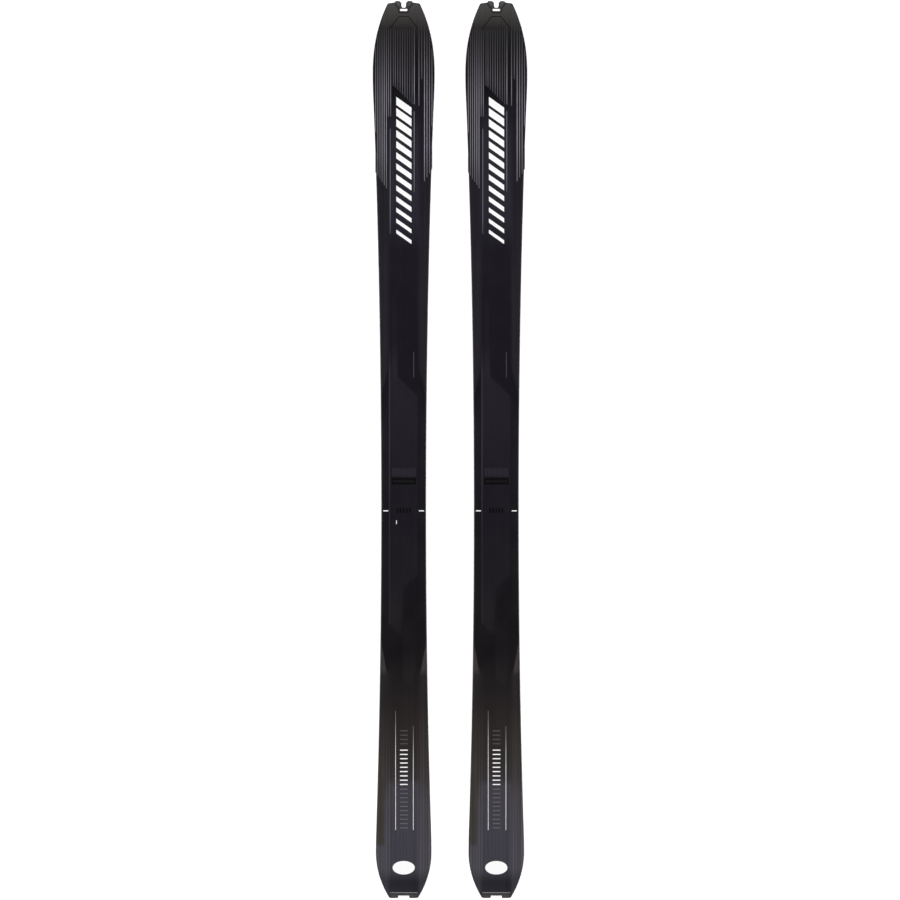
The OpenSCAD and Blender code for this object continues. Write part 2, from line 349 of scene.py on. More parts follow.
def insert_loops():
    """The nose insert's outline, and the cross slot behind its notch"""
    half = chain(INSERT_SEAT + INSERT_HORN + INSERT_NOTCH)
    low, high = SLOT_Y - SLOT_H / 2, SLOT_Y + SLOT_H / 2
    slot = chain([(0, low, 0), (SLOT_W / 2, low, SLOT_R), (SLOT_W / 2, high, SLOT_R), (0, high, 0)])
    return [both_sides(half), list(reversed(both_sides(slot)))]


def cap_loop():
    """The tail cap's outline, with its notch"""
    turn = side_point(TAIL_TURN_Y, 0)
    corner = rounded((0, TAIL_Y), (TAIL_END_W / 2, TAIL_Y), turn, TAIL_CORNER_R, steps=10)
    mouth, floor = TAIL_NOTCH_W / 2, TAIL_Y + TAIL_NOTCH_D
    notch = chain([(0, floor, 0), (mouth, floor, 0.001), (mouth, TAIL_Y + 0.002, 0.003),
                   (mouth + 0.0013, TAIL_Y, 0.0006), corner[0] + (0,)])
    side = side_line(0, TAIL_TURN_Y, CAP_Y)[:-1] + [(side_point(CAP_Y, 0)[0], CAP_Y), (0, CAP_Y)]
    return both_sides(notch + corner[1:] + side)


# ---------------- meshes


def moved_in(loop, distance):
    """A closed loop moved towards its own material, which lies on its left"""
    points = np.array(loop)
    ahead = np.roll(points, -1, axis=0) - points
    ahead /= np.linalg.norm(ahead, axis=1)[:, None]
    behind = np.roll(ahead, 1, axis=0)
    normals = np.stack([-(ahead + behind)[:, 1], (ahead + behind)[:, 0]], axis=1)
    normals /= np.linalg.norm(normals, axis=1)[:, None]
    left = np.stack([-ahead[:, 1], ahead[:, 0]], axis=1)
    stretch = np.maximum((normals * left).sum(axis=1), 0.5)
    return points + normals * (distance / stretch)[:, None]


def inside(points, loops):
    """Which points lie within the loops, holes left out"""
    found = np.zeros(len(points), bool)
    px, py = points[:, 0], points[:, 1]
    for loop in loops:
        a = np.array(loop)
        b = np.roll(a, -1, axis=0)
        for (ax, ay), (bx, by) in zip(a, b):
            if ay != by:
                crosses = (ay > py) != (by > py)
                found ^= crosses & (px < (bx - ax) * (py - ay) / (by - ay) + ax)
    return found


def distance_to_lines(points, lines):
    """Distance of each point to the nearest of the lines' stretches"""
    nearest = np.full(len(points), 1.0)
    for line in lines:
        a = np.array(line[:-1])
        b = np.array(line[1:])
        for start, end in zip(a, b):
            run = end - start
            t = np.clip(((points - start) @ run) / max(run @ run, 1e-18), 0, 1)
            gap = np.linalg.norm(points - start - t[:, None] * run, axis=1)
            nearest = np.minimum(nearest, gap)
    return nearest


def filled(loops, step, creases=()):
    """Flat triangles that fill the loops, with inner points step apart and edges on the creases"""
    points, edges = [], []
    for line, closed in [(loop, True) for loop in loops] + [(line, False) for line in creases]:
        first = len(points)
        points += [tuple(p) for p in line]
        edges += [(first + i, first + i + 1) for i in range(len(line) - 1)]
        if closed:
            edges.append((len(points) - 1, first))
    around = np.array(loops[0])
    xs = np.array(spaced(around[:, 0].min(), around[:, 0].max(), step[0]))
    ys = np.array(spaced(around[:, 1].min(), around[:, 1].max(), step[1]))
    grid = np.stack(np.meshgrid(xs, ys), axis=-1).reshape(-1, 2)
    grid = grid[inside(grid, loops)]
    closed_lines = [list(map(tuple, loop)) + [tuple(loop[0])] for loop in loops]
    grid = grid[distance_to_lines(grid, closed_lines + list(creases)) > 0.4 * min(step)]
    points += [tuple(p) for p in grid]
    found = delaunay_2d_cdt([Vector(p) for p in points], edges, [], 0, 1e-7)
    flat = np.array([tuple(v) for v in found[0]])
    triangles = np.array([tuple(f) for f in found[2]])
    kept = inside(flat[triangles].mean(axis=1), loops)
    return flat, triangles[kept]


def merged(name, points, faces):
    """A closed mesh from loose parts, with doubles merged and faces outwards"""
    mesh = bpy.data.meshes.new(name)
    mesh.from_pydata([tuple(p) for p in points], [], [tuple(f) for f in faces])
    bm = bmesh.new()
    bm.from_mesh(mesh)
    bmesh.ops.remove_doubles(bm, verts=bm.verts, dist=2e-6)
    bmesh.ops.dissolve_degenerate(bm, edges=bm.edges, dist=1e-7)
    loose = [v for v in bm.verts if not v.link_faces]
    bmesh.ops.delete(bm, geom=loose, context="VERTS")
    bmesh.ops.recalc_face_normals(bm, faces=bm.faces)
    if bm.calc_volume(signed=True) < 0:
        bmesh.ops.reverse_faces(bm, faces=bm.faces)
    for face in bm.faces:
        face.smooth = True
    bm.to_mesh(mesh)
    bm.free()
    return mesh


def between(a, b, count):
    """Faces between two rings of points that start at indices a and b"""
    return [(a + i, a + (i + 1) % count, b + (i + 1) % count, b + i) for i in range(count)]


def rim_rings(radius):
    """(inset, distance from the face) of the rings that round a rim"""
    turns = [math.radians(angle) for angle in (0, 30, 60, 90)]
    return [(radius * (1 - math.cos(a)), radius * (1 - math.sin(a))) for a in turns] + [(2 * radius, 0)]


def slab(name, loops, top, bottom, rim, under_rim, step, creases=()):
    """A closed plate between two surfaces over flat loops, with rounded rims"""
    points, faces = [], []

    def add(ring):
        first = len(points)
        points.extend(ring)
        return first

    for loop in loops:
        rings = [add([(x, y, bottom(x, y) + rise) for x, y in moved_in(loop, inset)])
                 for inset, rise in reversed(rim_rings(under_rim))]
        rings += [add([(x, y, top(x, y) - drop) for x, y in moved_in(loop, inset)])
                  for inset, drop in rim_rings(rim)]
        for a, b in zip(rings, rings[1:]):
            faces += between(a, b, len(loop))
    for surface, inset, lines in ((top, 2 * rim, creases), (bottom, 2 * under_rim, ())):
        flat, triangles = filled([moved_in(loop, inset) for loop in loops], step, lines)
        first = add([(x, y, surface(x, y)) for x, y in flat])
        faces += [tuple(first + i for i in triangle) for triangle in triangles]
    return merged(name, points, faces)


def lofted(name, rings):
    """A closed bar through rings of points, with both ends capped"""
    count, last = len(rings[0]), len(rings) - 1
    faces = [face for r in range(last) for face in between(r * count, (r + 1) * count, count)]
    faces += [tuple(reversed(range(count))), tuple(range(last * count, (last + 1) * count))]
    return merged(name, [p for ring in rings for p in ring], faces)


def plan_map(mesh, centre_x):
    """Gives a mesh a flat map in metres: across from the ski's centre line, then along"""
    layer = mesh.uv_layers.get("plan") or mesh.uv_layers.new(name="plan")
    index = np.zeros(len(mesh.loops), np.int32)
    mesh.loops.foreach_get("vertex_index", index)
    points = np.zeros(len(mesh.vertices) * 3, np.float32)
    mesh.vertices.foreach_get("co", points)
    flat = points.reshape(-1, 3)[index][:, :2]
    flat[:, 0] -= centre_x
    layer.data.foreach_set("uv", np.ascontiguousarray(flat).ravel())


def centre_of(side):
    return -SKI_X if side == "left" else SKI_X


def hands(side):
    """The two long sides of one ski: which way each lies from its middle, and its name"""
    return zip((-1, 1), ("outer", "inner") if side == "left" else ("inner", "outer"))


def put(name, mesh, material, body, replaced=()):
    """Links a finished mesh as a piece of one ski"""
    piece = bpy.data.objects.new(name, mesh)
    bpy.context.scene.collection.objects.link(piece)
    mesh.materials.clear()
    mesh.materials.append(material)
    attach(piece, body)
    if replaced:
        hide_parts(*replaced)
    return piece


def put_on_both(name, mesh, material, nodes=()):
    """Lays one ski's piece on both skis; each node is named without its side"""
    for side in SIDES:
        copy = mesh.copy()
        copy.name = f"{side}_{name}"
        copy.transform(Matrix.Translation((centre_of(side), 0, 0)))
        plan_map(copy, centre_of(side))
        put(copy.name, copy, material, f"{side}_ski", [f"{side}_{node}" for node in nodes])
    bpy.data.meshes.remove(mesh)


# ---------------- finishes


def shade(red, green, blue):
    """A colour from its 0 to 255 display values"""
    def linear(value):
        value /= 255
        return value / 12.92 if value <= 0.04045 else ((value + 0.055) / 1.055) ** 2.4
    return (linear(red), linear(green), linear(blue), 1.0)


class NodeMaker:
    """A node tree being built; each method adds a node and returns what comes out of it"""

    def __init__(self, tree):
        self.tree = tree

    def feed(self, socket, value):
        if isinstance(value, bpy.types.NodeSocket):
            self.tree.links.new(value, socket)
        else:
            socket.default_value = value

    def node(self, kind, inputs=(), **settings):
        """The new node itself"""
        node = self.tree.nodes.new(kind)
        for key, value in settings.items():
            setattr(node, key, value)
        for key, value in dict(inputs).items():
            self.feed(node.inputs[key], value)
        return node

    def made(self, kind, inputs=(), **settings):
        return self.node(kind, inputs, **settings).outputs[0]

    def math(self, operation, a, b=0.0, clamp=False):
        return self.made("ShaderNodeMath", {0: a, 1: b}, operation=operation, use_clamp=clamp)

    def plus(self, a, b):
        return self.math("ADD", a, b)

    def minus(self, a, b):
        return self.math("SUBTRACT", a, b)

    def times(self, *values):
        result = values[0]
        for value in values[1:]:
            result = self.math("MULTIPLY", result, value)
        return result

    def absolute(self, value):
        return self.math("ABSOLUTE", value)

    def split(self, vector):
        return self.node("ShaderNodeSeparateXYZ", {0: vector}).outputs

    def vector(self, x, y, z):
        return self.made("ShaderNodeCombineXYZ", {0: x, 1: y, 2: z})

    def ramp(self, fac, stops, interpolation="LINEAR"):
        """stops are (position, colour) pairs"""
        node = self.node("ShaderNodeValToRGB", {"Fac": fac})
        band = node.color_ramp
        band.interpolation = interpolation
        while len(band.elements) < len(stops):
            band.elements.new(0.5)
        for element, (position, colour) in zip(band.elements, stops):
            element.position = position
        for element, (position, colour) in zip(band.elements, stops):
            element.color = colour
        return node.outputs["Color"]


class Finish(NodeMaker):
    """A material being built"""

    def __init__(self, name, roughness=0.5, metallic=0.0, specular=0.5):
        self.material = bpy.data.materials.new(name)
        self.material.use_nodes = True
        super().__init__(self.material.node_tree)
        self.shader = self.tree.nodes["Principled BSDF"]
        self.shader.inputs["Roughness"].default_value = roughness
        self.shader.inputs["Metallic"].default_value = metallic
        self.shader.inputs["Specular IOR Level"].default_value = specular

    def plan(self):
        """The flat map, and its two parts: across and along the ski, in metres"""
        flat = self.node("ShaderNodeUVMap", uv_map="plan").outputs["UV"]
        return flat, self.split(flat)["X"], self.split(flat)["Y"]

    def solid(self):
        return self.node("ShaderNodeTexCoord").outputs["Object"]

    def along_strip(self):
        """Place along a printed strip, from -0.5 at its rear end to 0.5 at its front end"""
        return self.split(self.node("ShaderNodeAttribute", attribute_name="place").outputs["Vector"])["Y"]

    def noise(self, place, scale, detail=2.0, roughness=0.5):
        """Noise at one scale, or at a scale of its own on each axis"""
        if isinstance(scale, tuple):
            place, scale = self.made("ShaderNodeMapping", {"Vector": place, "Scale": scale}), 1.0
        inputs = {"Vector": place, "Scale": scale, "Detail": detail, "Roughness": roughness}
        return self.node("ShaderNodeTexNoise", inputs).outputs["Fac"]

    def map(self, value, low, high, to_low=0, to_high=1, smooth=False):
        inputs = {"Value": value, "From Min": low, "From Max": high, "To Min": to_low, "To Max": to_high}
        kind = "SMOOTHSTEP" if smooth else "LINEAR"
        return self.made("ShaderNodeMapRange", inputs, interpolation_type=kind)

    def spread(self, noise, to_low, to_high):
        """Noise stretched from its usual span"""
        return self.map(noise, 0.3, 0.7, to_low, to_high)

    def step(self, value, edge, soft=0.0006):
        """Rises softly from 0 to 1 where value passes edge"""
        return self.map(value, edge - soft, edge + soft)

    def until(self, value, edge, soft=0.0006):
        """Falls softly from 1 to 0 where value passes edge"""
        return self.minus(1.0, self.step(value, edge, soft))

    def near(self, value, centre, inner, outer):
        """1 within inner of centre, falling to 0 at outer"""
        return self.map(self.absolute(self.minus(value, centre)), inner, outer, 1, 0)

    def mix(self, fac, a, b, blend="MIX"):
        node = self.node("ShaderNodeMix", {0: fac, 6: a, 7: b}, data_type="RGBA", blend_type=blend)
        return node.outputs[2]

    def bump(self, height, distance, strength=1.0, under=None):
        inputs = {"Height": height, "Distance": distance, "Strength": strength}
        if under is not None:
            inputs["Normal"] = under
        return self.made("ShaderNodeBump", inputs)

    def finish(self, colour=None, roughness=None, normal=None):
        for key, value in (("Base Color", colour), ("Roughness", roughness), ("Normal", normal)):
            if value is not None:
                self.feed(self.shader.inputs[key], value)
        return self.material


# Places of the deck's print and of its painted highlights along the ski
PANEL_FRONT_Y = BOOT_Y + 0.262
PANEL_REAR_Y = BOOT_Y - 0.160
PANEL_STRIP_Y = BOOT_Y - 0.2627
STRIP_END_Y = BOOT_Y - 0.3485
WEDGE_END_Y = BOOT_Y - 0.340
RIBS_FRONT_Y = BOOT_Y - 0.370
RIB_PITCH = 0.0058

# Tones of the deck's print: (distance ahead of the tail, colour). The darker tones in the first 0.036
# ahead of the tail are painted shade where the tail turns up.
MIDDLE_TONES = [
    (0.000, (40, 39, 46)), (0.025, (34, 32, 39)), (0.035, (34, 32, 39)), (0.050, (55, 53, 61)),
    (0.065, (60, 58, 66)), (0.125, (62, 60, 68)), (0.230, (62, 60, 66)), (0.245, (50, 46, 48)),
    (0.285, (44, 40, 40)), (0.365, (38, 33, 33)), (0.407, (32, 28, 29)), (0.500, (18, 15, 18)),
    (0.760, (21, 18, 25)), (1.060, (21, 18, 25)), (1.330, (24, 21, 29)), (1.400, (38, 36, 45)),
    (1.560, (38, 36, 45)), (1.660, (9, 8, 11)), (1.780, (12, 10, 12)), (1.800, (40, 36, 35)),
    (1.840, (56, 52, 51)),
]
FLANK_TONES = [
    (0.000, (52, 50, 57)), (0.036, (54, 52, 59)), (0.060, (68, 66, 72)), (0.130, (66, 64, 70)),
    (0.200, (64, 61, 65)), (0.240, (56, 52, 54)), (0.285, (50, 46, 44)), (0.365, (43, 39, 38)),
    (0.395, (38, 34, 35)), (0.460, (36, 33, 34)), (0.470, (20, 17, 20)), (0.760, (20, 17, 22)),
    (1.000, (24, 21, 27)), (1.072, (18, 15, 20)), (1.084, (33, 30, 36)), (1.130, (35, 32, 38)),
    (1.330, (33, 30, 37)), (1.560, (28, 25, 32)), (1.700, (14, 12, 15)), (1.775, (16, 13, 15)),
    (1.800, (44, 40, 39)), (1.840, (58, 54, 53)),
]
STRIP_TONES = [
    (0.440, (31, 28, 29)), (0.475, (28, 25, 27)), (0.500, (23, 20, 23)), (0.600, (18, 15, 19)),
]
PANEL_TONES = [
    (0.500, (21, 18, 22)), (0.580, (29, 26, 29)), (0.620, (27, 24, 29)), (0.760, (24, 21, 28)),
    (0.880, (26, 23, 30)), (0.960, (31, 28, 36)), (1.050, (32, 29, 37)),
]


class DeckFinish(Finish):
    """The top sheet's print in layers, some of them painted highlights and painted shade; each layer takes
    the colour under it
    """

    def __init__(self, look):
        super().__init__("printed_deck", specular=look.deck_specular)
        self.flat, self.x, self.y = self.plan()
        self.away = self.absolute(self.x)
        self.ahead = self.math("DIVIDE", self.minus(self.y, TAIL_Y), LENGTH)

    def tone(self, ahead, tones):
        return self.ramp(ahead, [(distance / LENGTH, shade(*colour)) for distance, colour in tones])

    def slanted(self, slope):
        """The place along the ski, on lines that fall by slope to the right"""
        return self.plus(self.y, self.times(self.x, slope))

    def ground(self):
        """The middle's tones, and the flanks' tones, which lean outwards ahead of the boot"""
        upright_x, slope = 0.0335, 3.9
        lean = self.times(self.minus(self.away, upright_x), self.map(self.y, 0.0, 0.05, 0, slope),
                          self.map(self.y, 0.30, 0.40, 1, 0))
        leaning = self.plus(self.ahead, self.math("DIVIDE", lean, LENGTH))
        return self.mix(self.map(self.away, 0.026, 0.036, smooth=True),
                        self.tone(self.ahead, MIDDLE_TONES), self.tone(leaning, FLANK_TONES))

    def wedges(self, colour):
        """Painted highlights: pale wedges on both flanks behind the panel"""
        slope, start = 5.4, 0.644
        wedge = self.times(self.step(self.minus(self.times(self.away, slope), self.y), start, 0.004),
                           self.map(self.y, WEDGE_END_Y, WEDGE_END_Y + 0.012),
                           self.map(self.y, WEDGE_END_Y + 0.09, WEDGE_END_Y + 0.05))
        return self.mix(wedge, colour, shade(56, 52, 52))

    def panel(self, colour):
        """Middle panel under the binding, slanted ahead and longer at its left behind, with a painted
        highlight along its left edge
        """
        front = self.times(self.until(self.slanted(1.0), PANEL_FRONT_Y), self.until(self.x, 0.0290))
        nib = self.times(self.until(self.x, -0.0115),
                         self.map(self.y, PANEL_FRONT_Y + 0.02, PANEL_FRONT_Y + 0.075, 1, 0))
        left_side = self.map(self.y, PANEL_STRIP_Y, PANEL_REAR_Y, -0.0055, 0.0005)
        left_part = self.times(self.step(self.minus(left_side, self.x), 0.0),
                               self.step(self.slanted(0.97), PANEL_STRIP_Y))
        rear = self.math("MAXIMUM", self.step(self.slanted(-0.92), PANEL_REAR_Y), left_part)
        panel = self.times(self.until(self.away, DECK_HALF - 0.0006, 0.0004),
                           self.math("MAXIMUM", front, nib), rear)
        colour = self.mix(panel, colour, self.tone(self.ahead, PANEL_TONES))
        # Painted highlight: a pale line along the panel's left edge, fading away from y = 0.05
        rim = self.times(self.near(self.x, 0.0015 - DECK_HALF, 0.0008, 0.0020), panel,
                         self.map(self.absolute(self.minus(self.y, 0.05)), 0.05, 0.25, 0.55, 0.25))
        return self.mix(rim, colour, shade(66, 63, 72))

    def strip(self, colour):
        """Right-hand strip behind the panel, with a pointed end"""
        strip = self.times(self.step(self.x, -0.0010, 0.0012), self.until(self.x, 0.0265, 0.0012),
                           self.step(self.slanted(0.75), STRIP_END_Y),
                           self.step(self.slanted(-6.5), STRIP_END_Y - 0.135, 0.004),
                           self.map(self.y, PANEL_REAR_Y - 0.02, PANEL_REAR_Y, 1, 0))
        return self.mix(self.times(strip, 0.9), colour, self.tone(self.ahead, STRIP_TONES))

    def ribs(self, colour):
        """Soft ribs: narrow ones at the tail's flanks, and a broad one ahead of the panel"""
        waves = self.math("COSINE", self.times(self.away, 2 * math.pi / RIB_PITCH))
        ribs = self.times(self.map(waves, 0.1, 0.9), self.step(self.away, 0.0245, 0.002),
                          self.map(self.y, RIBS_FRONT_Y, RIBS_FRONT_Y - 0.12),
                          self.map(self.y, TAIL_Y + 0.040, TAIL_Y + 0.060))
        fold = self.times(self.near(self.x, -0.0195, 0.003, 0.006),
                          self.map(self.y, PANEL_FRONT_Y + 0.20, PANEL_FRONT_Y + 0.16),
                          self.step(self.y, PANEL_FRONT_Y + 0.02, 0.02))
        lift = self.plus(self.times(ribs, 0.36), self.times(fold, 0.35))
        return self.mix(1.0, colour, self.plus(lift, 1.0), blend="MULTIPLY")

    def warm_flank(self, colour):
        """The left flank of the tail is warmer"""
        flank = self.times(self.until(self.x, -0.0398), self.map(self.y, TAIL_Y + 0.104, TAIL_Y + 0.112),
                           self.map(self.y, -0.62, -0.66))
        return self.mix(self.times(flank, 0.85), colour, shade(56, 53, 49))

    def streaks(self, colour):
        """Fine streaks along the ski, strongest at the tip and the tail"""
        fine = self.noise(self.flat, (900, 3.0, 1), detail=1.0)
        broad = self.noise(self.flat, (160, 1.2, 1))
        streaks = self.plus(self.spread(fine, -0.5, 0.5), self.spread(broad, -0.5, 0.5))
        toward_ends = self.map(self.absolute(self.y), 0.1, 0.6, 0.12, 0.30, smooth=True)
        level = self.plus(1.0, self.times(streaks, toward_ends))
        return self.mix(1.0, colour, level, blend="MULTIPLY")


def printed_deck(look):
    """Satin top sheet with all the layers of its print, its painted highlights and painted shade, and a
    fine grain
    """
    f = DeckFinish(look)
    colour = f.ground()
    for layer in (f.wedges, f.panel, f.strip, f.ribs, f.warm_flank, f.streaks):
        colour = layer(colour)
    grain = f.noise(f.flat, 2600)
    cloud = f.noise(f.flat, 18, detail=3.0)
    roughness = f.plus(f.spread(cloud, -0.04, 0.04), look.deck_roughness)
    roughness = f.plus(roughness, f.spread(grain, -0.05, 0.05))
    return f.finish(colour, roughness, f.bump(grain, 0.00002, 0.6))


def brushed_steel(look):
    """Ground steel edges with fine lengthwise scratches, darker where they face up"""
    f = Finish("ground_steel", metallic=1.0)
    place = f.solid()
    scratches = f.noise(place, (5000, 14, 5000))
    tarnish = f.noise(place, 22, detail=3.0)
    colour = f.mix(f.map(tarnish, 0.35, 0.7, 0, 0.5), look.steel, shade(126, 122, 118))
    upward = f.split(f.node("ShaderNodeTexCoord").outputs["Normal"])["Z"]
    colour = f.mix(f.map(upward, 0.2, 0.4), colour, shade(34, 33, 34))
    return f.finish(colour, f.spread(scratches, 0.24, 0.46), f.bump(scratches, 0.00002, 0.5))


def sintered_base(look):
    """Black sintered base, ground with a fine crossed structure"""
    f = Finish("sintered_base", roughness=0.42, specular=0.45)
    flat, x, y = f.plan()
    slanted = f.plus(f.times(y, 0.45), f.absolute(x))
    groove_pitch = 0.0011
    grooves = f.math("SINE", f.times(slanted, 2 * math.pi / groove_pitch))
    flecks = f.noise(flat, 700)
    cloud = f.noise(flat, (30, 6, 1), detail=3.0)
    colour = f.mix(f.map(flecks, 0.52, 0.68, 0, 0.35), look.base, shade(52, 52, 56))
    colour = f.mix(f.spread(cloud, 0, 0.3), colour, shade(18, 18, 20))
    normal = f.bump(grooves, 0.00003, 0.5)
    return f.finish(colour, f.spread(cloud, 0.36, 0.52), f.bump(flecks, 0.00001, 0.3, under=normal))


def sanded_sidewall(look):
    """Black sidewall plastic, sanded along its length"""
    f = Finish("sanded_sidewall", roughness=0.5, specular=0.2)
    place = f.solid()
    lines = f.noise(place, (900, 9, 3500), detail=3.0)
    colour = f.mix(f.map(lines, 0.35, 0.7, 0, 0.6), look.sidewall, shade(48, 46, 50))
    return f.finish(colour, f.spread(f.noise(place, 30), 0.44, 0.6), f.bump(lines, 0.00003, 0.6))


def moulded(name, colour, worn, roughness, grain_size):
    """Moulded plastic with an eroded skin and paler specks"""
    f = Finish(name, roughness=roughness, specular=0.4)
    place = f.solid()
    grain = f.noise(place, 1 / grain_size, detail=3.0)
    tone = f.mix(f.map(f.noise(place, 60), 0.35, 0.7, 0, 0.6), colour, worn)
    rough = f.spread(grain, roughness - 0.07, roughness + 0.07)
    return f.finish(tone, rough, f.bump(grain, grain_size * 0.12, 0.7))


def printed_ink(name, colour, worn, specular=0.25):
    """Screen-printed ink with a faint grain"""
    f = Finish(name, roughness=0.42, specular=specular)
    grain = f.noise(f.solid(), 1500)
    tone = f.mix(f.map(grain, 0.4, 0.75, 0, 0.5), colour, worn)
    return f.finish(tone, None, f.bump(grain, 0.00001, 0.4))


def pinstripe_ink(look):
    """Grey ink that grows paler away from the nose, each stripe in its own strength"""
    f = Finish("pinstripe_ink", roughness=0.4, specular=0.3)
    strength = f.node("ShaderNodeAttribute", attribute_name="strength").outputs["Fac"]
    grown = f.map(f.plan()[2], NOSE_Y - 0.055, NOSE_Y - 0.200)
    faded = f.map(f.along_strip(), -0.5, -0.28, 0.55, 1.0, smooth=True)
    level = f.math("MULTIPLY", f.times(grown, faded), strength, clamp=True)
    return f.finish(f.mix(level, shade(40, 37, 39), look.pinstripe))


def fading_ink(look):
    """White ink of the two long lines at the tail, which fade in from the front"""
    f = Finish("fading_ink", roughness=0.4, specular=0.3)
    level = f.map(f.along_strip(), 0.5, 0.05, 0.12, 0.85, smooth=True)
    return f.finish(f.mix(level, shade(46, 43, 42), look.white))


# ---------------- marks laid on the deck


class TreeMaker(NodeMaker):
    """A geometry tree being built"""

    def __init__(self, name, inputs):
        super().__init__(bpy.data.node_groups.new(name, "GeometryNodeTree"))
        face = self.tree.interface
        face.new_socket("Geometry", in_out="INPUT", socket_type="NodeSocketGeometry")
        for label, kind, default in inputs:
            socket = face.new_socket(label, in_out="INPUT", socket_type="NodeSocket" + kind)
            if default is not None:
                socket.default_value = default
        face.new_socket("Geometry", in_out="OUTPUT", socket_type="NodeSocketGeometry")
        self.given = self.tree.nodes.new("NodeGroupInput").outputs
        self.result = self.tree.nodes.new("NodeGroupOutput").inputs

    def attribute(self, name, kind="FLOAT"):
        return self.made("GeometryNodeInputNamedAttribute", {"Name": name}, data_type=kind)

    def done(self, geometry, material):
        """Makes the geometry real, gives it its material and closes the tree"""
        geometry = self.made("GeometryNodeRealizeInstances", {"Geometry": geometry})
        geometry = self.made("GeometryNodeSetMaterial", {"Geometry": geometry, "Material": material})
        self.tree.links.new(geometry, self.result[0])
        return self.tree


def laid_strips():
    """Geometry tree: a thin closed strip at each point, laid on the deck under it.

    The points carry each strip's length, breadth, slant and strength.
    """
    t = TreeMaker("Strips laid on a deck", [
        ("Deck", "Object", None), ("Pieces along", "Int", 2), ("Pieces across", "Int", 2),
        ("Thickness", "Float", 0.00004), ("Lift", "Float", 0.00002), ("Ink", "Material", None)])
    cube = t.node("GeometryNodeMeshCube", {
        "Size": (1, 1, 1), "Vertices X": t.given["Pieces across"],
        "Vertices Y": t.given["Pieces along"], "Vertices Z": 2}).outputs["Mesh"]
    where = t.made("GeometryNodeInputPosition")
    cube = t.made("GeometryNodeStoreNamedAttribute", {"Geometry": cube, "Name": "place", "Value": where},
                  data_type="FLOAT_VECTOR")
    strips = t.made("GeometryNodeInstanceOnPoints", {
        "Points": t.given["Geometry"], "Instance": cube,
        "Scale": t.vector(t.attribute("breadth"), t.attribute("length"), 1.0)})
    strips = t.made("GeometryNodeRealizeInstances", {"Geometry": strips})

    place = t.split(t.attribute("place", "FLOAT_VECTOR"))
    now = t.split(t.made("GeometryNodeInputPosition"))
    slid = t.plus(now["Y"], t.times(place["X"], t.attribute("slant")))
    deck = t.node("GeometryNodeObjectInfo", {"Object": t.given["Deck"]},
                  transform_space="ORIGINAL").outputs["Geometry"]
    ray = t.node("GeometryNodeRaycast", {
        "Target Geometry": deck, "Source Position": t.vector(now["X"], slid, 0.5),
        "Ray Direction": (0, 0, -1), "Ray Length": 1.0})
    hit = t.split(ray.outputs["Hit Position"])["Z"]
    height = t.times(t.plus(place["Z"], 0.5), t.given["Thickness"])
    z = t.plus(t.plus(hit, t.given["Lift"]), height)
    final = t.vector(now["X"], slid, z)
    strips = t.made("GeometryNodeSetPosition", {"Geometry": strips, "Position": final})
    return t.done(strips, t.given["Ink"])


def grown_mesh(name, start, tree, values):
    """The plain mesh that a geometry tree makes of a starting mesh, with its named inputs set"""
    grower = bpy.data.objects.new(name, start)
    bpy.context.scene.collection.objects.link(grower)
    modifier = grower.modifiers.new(name, "NODES")
    modifier.node_group = tree
    for item in tree.interface.items_tree:
        if item.item_type == "SOCKET" and item.in_out == "INPUT" and item.name in values:
            modifier[item.identifier] = values[item.name]
    bpy.context.view_layer.update()
    graph = bpy.context.evaluated_depsgraph_get()
    mesh = bpy.data.meshes.new_from_object(grower.evaluated_get(graph), depsgraph=graph)
    grower.modifiers.remove(modifier)
    bpy.data.objects.remove(grower)
    bpy.data.meshes.remove(start)
    mesh.name = name
    return mesh


def strip(x, y, length, breadth, slant=0.0, strength=1.0):
    """A printed strip round (x, y); slant is its rise from its left to its right end"""
    return (x, y, length, breadth, slant, strength)


def lengthwise(x, rear, front, breadth, strength=1.0):
    """A strip along the ski from rear to front"""
    return strip(x, (rear + front) / 2, front - rear, breadth, strength=strength)


def row(count, x, y, pitch_x, pitch_y, length, breadth):
    """Equal strips in a row, from the one at (x, y)"""
    return [strip(x + pitch_x * i, y + pitch_y * i, length, breadth) for i in range(count)]


def strip_points(name, strips, centre_x):
    """A mesh of loose points that carry strips"""
    mesh = bpy.data.meshes.new(name)
    mesh.from_pydata([(s[0] + centre_x, s[1], 0) for s in strips], [], [])
    for place, key in enumerate(("length", "breadth", "slant", "strength"), start=2):
        attribute = mesh.attributes.new(key, "FLOAT", "POINT")
        attribute.data.foreach_set("value", [s[place] for s in strips])
    return mesh


def lay_strips(name, strips, ink, along, across=2, sides=SIDES, lift=0.00002):
    """Prints the same strips on the deck of each ski"""
    tree = bpy.data.node_groups.get("Strips laid on a deck") or laid_strips()
    for side in sides:
        label = f"{side}_{name}"
        mesh = grown_mesh(label, strip_points(label, strips, centre_of(side)), tree, {
            "Deck": bpy.data.objects[f"{side}_deck"], "Pieces along": along,
            "Pieces across": across, "Lift": lift, "Ink": ink})
        for polygon in mesh.polygons:
            polygon.use_smooth = False
        plan_map(mesh, centre_of(side))
        put(label, mesh, ink, f"{side}_ski")


# How far behind the nose the pinstripes stop: (right of this x, distance)
STRIPE_STOPS = [(0.028, 0.0085), (0.020, 0.0265), (-0.1, 0.058)]
STRIPE_MARGIN = 0.0026      # least distance of a pinstripe from the ski's side


def nose_limit(x):
    """How far ahead a pinstripe at x reaches"""
    last = NOSE_Y - next(distance for least, distance in STRIPE_STOPS if x > least)
    y = SHOVEL_Y
    while y < last and half_w(y) - STRIPE_MARGIN > abs(x):
        y += 0.001
    return y


# ---------------- settings


def colour_setting(name, description, value):
    return bpy.props.FloatVectorProperty(
        name=name, description=description, default=value, size=4, subtype="COLOR", min=0, max=1)


def length_setting(name, description, value):
    return bpy.props.FloatProperty(
        name=name, description=description, default=value, unit="LENGTH", subtype="DISTANCE", precision=5)


